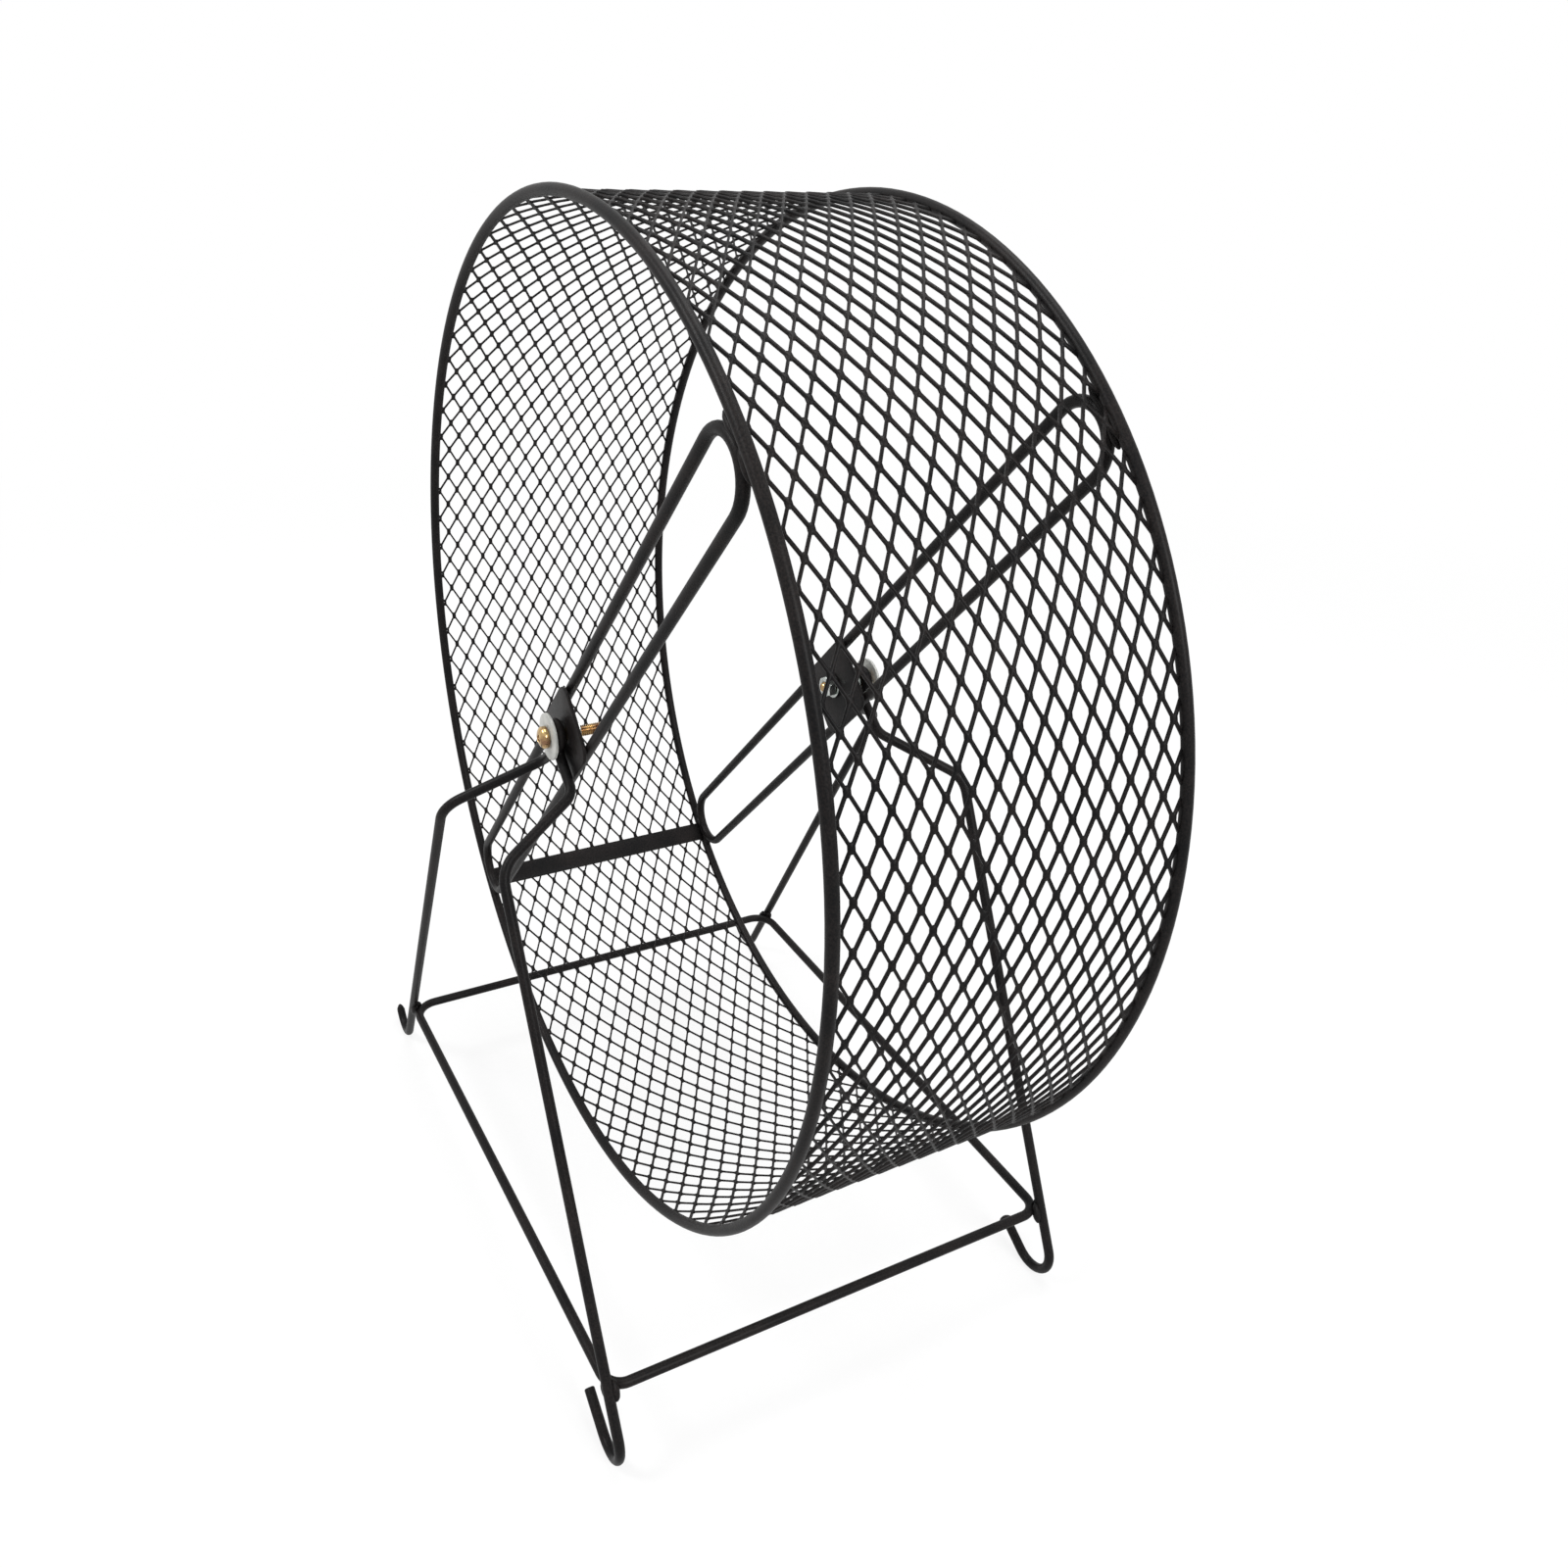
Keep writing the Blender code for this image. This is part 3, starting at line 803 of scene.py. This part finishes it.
    def roll_thread(self, screw: BMesh, tip: float) -> None:
        """Winds the ridge of the thread round the core.

        Args:
            screw: mesh that gets the ridge.
            tip: the screw's tip, from the wheel's middle.
        """
        turns = int((self.thread_length - self.tip_chamfer) / self.thread_pitch) - 1
        low = self.screw_radius - self.thread_depth - self.thread_sink
        start = tip + self.tip_chamfer / 2
        corners = [(low, 0.0), *((self.screw_radius, share) for share in self.thread_crest), (low, 1.0)]
        verts = [screw.verts.new(by_axle(self.end, start + share * self.thread_pitch, radius))
                 for radius, share in corners]
        ridge = screw.faces.new(verts)
        bmesh.ops.spin(screw, geom=verts + ridge.edges[:] + [ridge], cent=AXLE, axis=ALONG_AXLE,
                       dvec=ALONG_AXLE * self.end.value * self.thread_pitch / self.thread_steps,
                       angle=2 * math.pi * turns, steps=self.thread_steps * turns, use_duplicate=False)

    def nut(self) -> None:
        """Cuts the hexagon from bar, then chamfers its corners and bores it on the lathe."""
        outer = self.plate_inner - 2 * self.seat_gap - self.nut_washer_thickness
        inner = outer - self.nut_height
        corner = self.nut_flats / math.sqrt(3)
        bar = bmesh.new()
        bmesh.ops.create_circle(bar, cap_ends=True, segments=6, radius=corner,
                                matrix=Matrix.Translation(by_axle(self.end, inner))
                                @ Matrix.Rotation(math.pi / 2, 4, "X"))
        grown = bmesh.ops.extrude_face_region(bar, geom=bar.faces[:], use_keep_orig=True)["geom"]
        bmesh.ops.translate(bar, vec=ALONG_AXLE * self.end.value * self.nut_height, verts=verts_in(grown))
        face = self.nut_flats / 2 * self.nut_face_share
        beyond = corner * self.nut_lathe_share
        slope = (corner - self.nut_flats / 2) * math.tan(self.nut_chamfer_angle) * self.nut_chamfer_share
        bore, bevel = self.screw_radius, self.nut_bore_chamfer
        lathe = turned([(bore, inner + bevel), (bore + bevel, inner), (face, inner),
                        (beyond, inner + slope), (beyond, outer - slope), (face, outer),
                        (bore + bevel, outer), (bore, outer - bevel)], self.end)
        nut = carve(bar, lathe, Cut.INSIDE)
        ease_edges(nut, self.nut_edge, 1)
        settle(nut, self.end.label + "_hex_nut", BRIGHT, Body.WHEEL, self.end.label + "_nut", 25.0)

    def spacer(self) -> None:
        """Parts off the sleeve that keeps the plate away from the wire eye."""
        spacer = self.ring(self.spacer_radius, self.plate_outer + self.seat_gap,
                           self.eye_plane - self.eye_to_seat)
        ease_edges(spacer, self.spacer_edge)
        settle(spacer, self.end.label + "_turned_spacer", BRIGHT, Body.WHEEL, self.end.label + "_spacer")

    def washers(self) -> None:
        """Punches both washers."""
        seat = self.plate_inner - self.seat_gap
        nut_washer = self.ring(self.nut_washer_radius, seat - self.nut_washer_thickness, seat)
        ease_edges(nut_washer, self.nut_washer_edge)
        settle(nut_washer, self.end.label + "_punched_nut_washer", BRIGHT, Body.WHEEL,
               self.end.label + "_nut_washer")
        start = self.eye_plane + self.eye_to_seat
        outer_washer = self.ring(self.outer_washer_radius, start, start + self.outer_washer_thickness)
        ease_edges(outer_washer, self.outer_washer_edge, 3)
        settle(outer_washer, self.end.label + "_nylon_washer", NYLON, Body.STAND,
               self.end.label + "_outer_washer")

    def build(self) -> None:
        """Builds this end; only the rear one has a spacer."""
        self.plate()
        self.screw()
        self.nut()
        self.washers()
        if self.end is End.REAR:
            self.spacer()


@dataclass
class Stand:
    """The two side wires with their eyes and feet, and the ring that ties them together."""

    gauge: float = Wheel.gauge
    front_eye_plane: float = 45.85 * MM
    rear_eye_plane: float = 47.95 * MM
    eye_radius: float = 3.2 * MM
    throat: float = 0.5 * MM
    flare: float = 2.0 * MM
    neck: tuple[float, float] = (10.9 * MM, -12.1 * MM)
    neck_bend: float = 5.0 * MM
    front_shoulder: float = 18.6 * MM
    rear_shoulder: float = 24.6 * MM
    shoulder_sway: float = 1.6 * MM
    shoulder_drop: float = 23.7 * MM
    shoulder_bend: float = 9.0 * MM
    leg_plane: float = 68.5 * MM
    front_left_splay: float = 4.6 * MM
    rear_left_splay: float = 2.2 * MM
    leg_reach: float = 86.0 * MM
    ring_drop: float = 139.1 * MM
    foot_drop: float = 21.5 * MM
    foot_bend: float = 7.5 * MM
    front_right_return: float = 11.0 * MM
    rear_right_return: float = 9.2 * MM
    right_rise: float = math.radians(32.0)
    left_return: float = 1.2 * MM
    left_rise: float = math.radians(56.0)
    ring_inset: float = 0.6 * MM
    ring_right_corner: float = 5.5 * MM
    ring_left_corner: float = 7.0 * MM
    seat_gap: float = 0.3 * MM
    tips: dict[tuple[Side, End], Vector] = field(default_factory=dict)

    def eye_plane(self, end: End) -> float:
        """Distance of one side's eye from the wheel's middle."""
        return self.front_eye_plane if end is End.FRONT else self.rear_eye_plane

    def plane(self, side: Side, end: End) -> float:
        """Distance of one leg's plane from the wheel's middle, more on the left where the legs splay."""
        splay = self.front_left_splay if end is End.FRONT else self.rear_left_splay
        return self.leg_plane if side is Side.RIGHT else self.leg_plane + splay

    def shoulder_reach(self, side: Side, end: End) -> float:
        """Distance of one shoulder from the axle, sideways."""
        reach = self.front_shoulder if end is End.FRONT else self.rear_shoulder
        return reach + side.value * self.shoulder_sway

    def slope(self, side: Side, end: End) -> float:
        """Angle of one leg from the upright."""
        sideways = self.leg_reach - self.shoulder_reach(side, end)
        return math.atan2(sideways, self.ring_drop - self.shoulder_drop)

    def on_leg(self, side: Side, end: End, height: float) -> Vector:
        """Finds a point of one straight leg.

        Args:
            side: which leg of the side wire.
            end: which side wire.
            height: of the point above the floor.

        Returns:
            The point, on the wire's middle line.
        """
        below = AXLE.z - height - self.ring_drop
        reach = self.leg_reach + below * math.tan(self.slope(side, end))
        return Vector((side.value * reach, end.value * self.plane(side, end), height))

    def half_eye(self, wire: WireBender, side: Side) -> None:
        """Bends half the eye, and the flare that leads from its throat to the neck.

        Args:
            wire: the bender, clamped at the top of the eye.
            side: which half.
        """
        wire.rewind(Vector((side.value, 0.0, 0.0)))
        flare_x = self.throat / 2 + self.gauge / 2 + self.flare
        flare_z = -math.sqrt((self.eye_radius + self.flare) ** 2 - flare_x ** 2)
        inward = math.atan2(flare_z, flare_x)
        wire.bend(self.eye_radius, math.pi / 2 - inward, -UP)
        neck_x, neck_z = self.neck[0] - flare_x, self.neck[1] - flare_z
        run = math.sqrt(neck_x ** 2 + neck_z ** 2 - self.flare ** 2)
        leave = math.atan2(neck_z, neck_x) - math.atan2(run, self.flare)
        outward = Vector((side.value * math.cos(inward), 0.0, math.sin(inward)))
        wire.bend(self.flare, leave - inward + math.pi, outward)

    def foot(self, wire: WireBender, side: Side, end: End) -> None:
        """Bends the hook of one foot and cuts the wire.

        Args:
            wire: the bender, at the foot of the leg.
            side: which leg of the side wire.
            end: which side wire.
        """
        slope = self.slope(side, end)
        if side is Side.LEFT:
            rise, back = self.left_rise, self.left_return
        else:
            rise = self.right_rise
            back = self.front_right_return if end is End.FRONT else self.rear_right_return
        wire.bend(self.foot_bend, side.value * slope + math.pi / 2 + rise,
                  Vector((-math.cos(slope), 0.0, -side.value * math.sin(slope))))
        wire.feed(back)
        self.tips[side, end] = wire.place.copy()
        wire.cut()

    def leg(self, wire: WireBender, side: Side, end: End) -> None:
        """Bends one half of a side wire: half the eye, neck, shoulder, leg and foot.

        Args:
            wire: the bender, clamped at the top of the eye.
            side: which leg of the side wire.
            end: which side wire.
        """
        self.half_eye(wire, side)
        way = side.value
        plane = end.value * self.plane(side, end)
        neck = AXLE + Vector((way * self.neck[0], end.value * self.eye_plane(end), self.neck[1]))
        shoulder = AXLE + Vector((way * self.shoulder_reach(side, end), plane, -self.shoulder_drop))
        slope = self.slope(side, end)
        hook_z = self.foot_bend - self.ring_drop - self.foot_drop + way * self.foot_bend * math.sin(slope)
        hook_x = way * (self.leg_reach - (hook_z + self.ring_drop) * math.tan(slope))
        hook = AXLE + Vector((hook_x, plane, hook_z))
        wire.towards(neck, shoulder, self.neck_bend)
        wire.towards(shoulder, hook, self.shoulder_bend)
        wire.feed((hook - wire.place).length)
        self.foot(wire, side, end)

    def side_wire(self, end: End) -> None:
        """Bends a whole side wire from the top of its eye, one leg after the other.

        Args:
            end: which side wire.
        """
        start = by_axle(end, self.eye_plane(end)) + UP * self.eye_radius
        wire = WireBender(start, Vector((1.0, 0.0, 0.0)), self.gauge)
        for side in (Side.RIGHT, Side.LEFT):
            self.leg(wire, side, end)
        settle(wire.mesh, end.label + "_bent_side_wire", BLACK, Body.STAND, end.label + "_side_wire")

    def ring_bend(self, side: Side) -> float:
        """Radius of the ring's corners on one side."""
        return self.ring_right_corner if side is Side.RIGHT else self.ring_left_corner

    def ring_corner(self, side: Side, end: End) -> Vector:
        """Places a corner of the ring so that its bend seats on the inside of the leg.

        Args:
            side: which leg of the side wire.
            end: which side wire.

        Returns:
            Where the ring's two straight runs would meet.
        """
        bend = self.ring_bend(side)
        touch = bend + self.gauge + 2 * self.seat_gap
        reach = self.leg_reach - math.sqrt(touch ** 2 - (bend + self.ring_inset) ** 2) + bend
        return AXLE + Vector((side.value * reach, end.value * (self.plane(side, end) - self.ring_inset),
                              -self.ring_drop))

    def base_ring(self) -> None:
        """Bends the ring, starting in the middle of its right side."""
        order = ((Side.RIGHT, End.REAR), (Side.LEFT, End.REAR),
                 (Side.LEFT, End.FRONT), (Side.RIGHT, End.FRONT))
        corners = [self.ring_corner(side, end) for side, end in order]
        start = (corners[0] + corners[-1]) / 2
        wire = WireBender(start, (corners[0] - start).normalized(), self.gauge)
        for (side, _), corner, beyond in zip(order, corners, corners[1:] + [start]):
            wire.towards(corner, beyond, self.ring_bend(side))
        wire.feed((start - wire.place).length)
        settle(wire.mesh, "bent_base_ring", BLACK, Body.STAND, "base_ring")

    def build(self) -> None:
        """Builds both side wires and the ring."""
        for end in End:
            self.side_wire(end)
        self.base_ring()


@dataclass
class Welds:
    """Beads at the loops' ends, along the hub plates and on the ring, and the coat that hangs at the feet.

    The coat softens every bead. A bead's size is its length, width and height.
    """

    wheel: Wheel
    stand: Stand
    ripple: float = 1.1 * MM
    swell: float = 0.1
    loop_bead: Size = in_mm(8.0, 2.4, 1.9)
    loop_bead_inset: float = 0.5 * MM
    loop_bead_aside: float = 3.8 * MM
    plate_bead: Size = in_mm(19.0, 1.1, 2.2)
    plate_bead_beside: float = 0.8 * MM
    plate_bead_before: float = 0.1 * MM
    ring_bead: Size = in_mm(6.0, 2.8, 2.5)
    ring_bead_inset: float = 1.25 * MM
    ring_bead_aside: float = 1.1 * MM
    left_tip_bead: Size = in_mm(5.0, 2.6, 3.6)
    left_tip_drop: float = 1.0 * MM
    right_tip_bead: Size = in_mm(4.4, 3.0, 3.2)
    right_tip_drop: float = 0.5 * MM

    def bead(self, builder: BMesh, center: Vector, along: Vector, across: Vector,
             size: Size) -> None:
        """Lays one bead.

        Args:
            builder: mesh that gets the bead.
            center: middle of the bead.
            along: direction of its length.
            across: direction of its width.
            size: its length, width and height.
        """
        made = bmesh.ops.create_icosphere(builder, subdivisions=3, radius=0.5)["verts"]
        bmesh.ops.scale(builder, vec=size, verts=made)
        along = along.normalized()
        across = (across - along * across.dot(along)).normalized()
        turn = Matrix((along, across, along.cross(across))).transposed().to_4x4()
        bmesh.ops.transform(builder, matrix=Matrix.Translation(center) @ turn, verts=made)
        for vert in made:
            ripple = noise.noise(vert.co / self.ripple)
            vert.co += (vert.co - center) * ripple * self.swell

    def loops(self, end: End) -> None:
        """Beads in the two crevices at each end of a spoke loop, and along the hub plate's edges.

        Args:
            end: which loop.
        """
        builder = bmesh.new()
        wheel = self.wheel
        plane = end.value * wheel.rim_plane
        touch = wheel.loop_reach + wheel.gauge / 2
        for side in (-1.0, 1.0):
            for way in (-1.0, 1.0):
                reach = way * (touch - self.loop_bead_inset)
                spot = wheel.along_loop(reach, side * self.loop_bead_aside, plane)
                self.bead(builder, spot, spot - wheel.along_loop(way * touch, 0.0, plane), ALONG_AXLE,
                          self.loop_bead)
            # Both plates lie on the front side of their loops.
            spot = wheel.along_loop(0.0, side * (wheel.loop_width / 2 + self.plate_bead_beside),
                                    plane - wheel.gauge / 2 - self.plate_bead_before)
            self.bead(builder, spot, wheel.along_loop(1.0, 0.0, 0.0) - AXLE, ALONG_AXLE, self.plate_bead)
        settle(builder, end.label + "_loop_welds", BLACK, Body.WHEEL)

    def ring_joint(self, builder: BMesh, side: Side, end: End) -> None:
        """Beads on both sides of the place where the ring meets a leg.

        Args:
            builder: mesh that gets the beads.
            side: which leg of the side wire.
            end: which side wire.
        """
        slope = self.stand.slope(side, end)
        leg = self.stand.on_leg(side, end, AXLE.z - self.stand.ring_drop)
        bend = self.stand.ring_bend(side)
        middle = self.stand.ring_corner(side, end) - Vector((side.value * bend, end.value * bend, 0.0))
        outward = Vector((leg.x - middle.x, leg.y - middle.y, 0.0)).normalized()
        beside = outward.cross(UP)
        down = Vector((side.value * math.sin(slope), 0.0, -math.cos(slope)))
        for way in (-1.0, 1.0):
            spot = leg - outward * self.ring_bead_inset + beside * way * self.ring_bead_aside
            self.bead(builder, spot, down, beside, self.ring_bead)

    def ring_and_feet(self) -> None:
        """Beads at the ring's corners, and the coat that hangs at the ends of three of the hooked feet."""
        builder = bmesh.new()
        for end in End:
            for side in Side:
                self.ring_joint(builder, side, end)
            spot = self.stand.tips[Side.LEFT, end] - UP * self.left_tip_drop
            self.bead(builder, spot, UP, ALONG_AXLE, self.left_tip_bead)
        spot = self.stand.tips[Side.RIGHT, End.REAR] - UP * self.right_tip_drop
        self.bead(builder, spot, ALONG_AXLE, UP, self.right_tip_bead)
        settle(builder, "ring_welds", BLACK, Body.STAND)

    def build(self) -> None:
        """Lays all the beads."""
        for end in End:
            self.loops(end)
        self.ring_and_feet()


@dataclass(frozen=True)
class Softbox:
    """One soft round lamp that faces the wheel."""

    name: str
    place: Size
    size: float
    power: float

    def hang(self) -> None:
        """Hangs the lamp."""
        data = bpy.data.lights.new(self.name, "AREA")
        data.shape = "DISK"
        data.size = self.size
        data.energy = self.power
        lamp = bpy.data.objects.new(self.name, data)
        lamp.location = self.place
        lamp.rotation_euler = (AXLE - Vector(self.place)).to_track_quat("-Z", "Y").to_euler()
        bpy.context.scene.collection.objects.link(lamp)


@dataclass
class Studio:
    """Camera at the photograph's place, pale floor, white surroundings and soft lamps."""

    lens: float = 28.328
    sensor: float = 36.0
    shift: tuple[float, float] = (0.0424, -0.0085)
    nearest: float = 0.01
    place: Size = (0.27668, -0.14276, 0.29934)
    ahead: Size = (-0.79157, 0.41321, -0.45019)
    right: Size = (0.45068, 0.89229, 0.02658)
    floor_half: float = 6.0
    fade_start: float = 0.35
    fade_end: float = 1.1
    white_near: float = 0.84
    paper: str = "#fbfbfb"
    white: str = "#ffffff"
    room_light: float = 0.45
    lamps: tuple[Softbox, ...] = (Softbox("key_softbox", (-0.35, -0.95, 1.25), 0.45, 11.0),
                                  Softbox("fill_softbox", (1.15, 0.15, 0.9), 0.5, 9.0),
                                  Softbox("top_softbox", (-0.2, 0.3, 1.5), 0.8, 8.0))

    def camera(self) -> None:
        """Sets up the camera."""
        data = bpy.data.cameras.new("photo_view")
        data.lens = self.lens
        data.sensor_fit = "HORIZONTAL"
        data.sensor_width = self.sensor
        data.shift_x, data.shift_y = self.shift
        data.clip_start = self.nearest
        ahead, right = Vector(self.ahead), Vector(self.right)
        turn = Matrix((right, right.cross(ahead), -ahead)).transposed().to_4x4()
        camera = bpy.data.objects.new("photo_view", data)
        camera.matrix_world = Matrix.Translation(self.place) @ turn
        bpy.context.scene.collection.objects.link(camera)
        bpy.context.scene.camera = camera

    def see_white(self, tree: bpy.types.NodeTree) -> bpy.types.NodeSocket:
        """Picks out the rays that should see plain white.

        Args:
            tree: node tree of the floor or the world.

        Returns:
            Socket that is one for camera, glossy and transmission rays, and zero for the rays that light.
        """
        path = add_node(tree, "ShaderNodeLightPath")
        seen = path.outputs["Is Camera Ray"]
        for kind in ("Is Glossy Ray", "Is Transmission Ray"):
            both = {0: seen, 1: path.outputs[kind]}
            seen = add_node(tree, "ShaderNodeMath", {}, both, operation="MAXIMUM").outputs[0]
        return seen

    def floor(self) -> None:
        """Lays the pale floor, which keeps the object's shadow near it and runs out to plain white."""
        builder = bmesh.new()
        bmesh.ops.create_grid(builder, x_segments=1, y_segments=1, size=self.floor_half)
        mesh = bpy.data.meshes.new("floor")
        builder.to_mesh(mesh)
        builder.free()
        material = bpy.data.materials.new("pale_paper")
        material.use_nodes = True
        tree = material.node_tree
        tree.nodes.remove(tree.nodes["Principled BSDF"])
        paper = add_node(tree, "ShaderNodeBsdfDiffuse", {"Color": linear(self.paper)})
        white = add_node(tree, "ShaderNodeEmission", {"Color": linear(self.white), "Strength": 1.0})
        place = add_node(tree, "ShaderNodeTexCoord").outputs["Object"]
        far = add_node(tree, "ShaderNodeVectorMath", {}, {0: place}, operation="LENGTH")
        fade = add_node(tree, "ShaderNodeMapRange",
                        {"From Min": self.fade_start, "From Max": self.fade_end,
                         "To Min": self.white_near, "To Max": 1.0},
                        {"Value": far.outputs["Value"]}, interpolation_type="SMOOTHSTEP")
        share = add_node(tree, "ShaderNodeMath", {}, {0: self.see_white(tree), 1: fade.outputs["Result"]},
                         operation="MULTIPLY")
        mixed = add_node(tree, "ShaderNodeMixShader", {},
                         {0: share.outputs[0], 1: paper.outputs[0], 2: white.outputs[0]})
        tree.links.new(mixed.outputs[0], tree.nodes["Material Output"].inputs["Surface"])
        mesh.materials.append(material)
        floor = bpy.data.objects.new("floor", mesh)
        bpy.context.scene.collection.objects.link(floor)

    def world(self) -> None:
        """Plain white surroundings that light the object softly."""
        world = bpy.data.worlds.new("white_room")
        world.use_nodes = True
        tree = world.node_tree
        strength = add_node(tree, "ShaderNodeMapRange", {"To Min": self.room_light, "To Max": 1.0},
                            {"Value": self.see_white(tree)})
        ground = tree.nodes["Background"]
        ground.inputs["Color"].default_value = linear(self.white)
        tree.links.new(strength.outputs["Result"], ground.inputs["Strength"])
        bpy.context.scene.world = world

    def build(self) -> None:
        """Sets the studio up."""
        self.camera()
        self.floor()
        self.world()
        for lamp in self.lamps:
            lamp.hang()
        bpy.context.scene.view_settings.view_transform = "Standard"


# Inner face of each hub plate, from the wheel's middle. The front one lies outside its loop, the rear inside.
PLATE_INNER = {End.FRONT: 43.15 * MM, End.REAR: 38.75 * MM}


def main() -> None:
    """Builds the looks of the whole wheel."""
    logging.basicConfig(level=logging.INFO, format="%(message)s")
    wheel = Wheel()
    stand = Stand()
    Studio().build()
    wheel.build()
    RunningMesh().build()
    for end, plate_inner in PLATE_INNER.items():
        AxleHardware(end, stand.eye_plane(end), plate_inner).build()
    stand.build()
    Welds(wheel, stand).build()


if __name__ == "__main__":
    main()
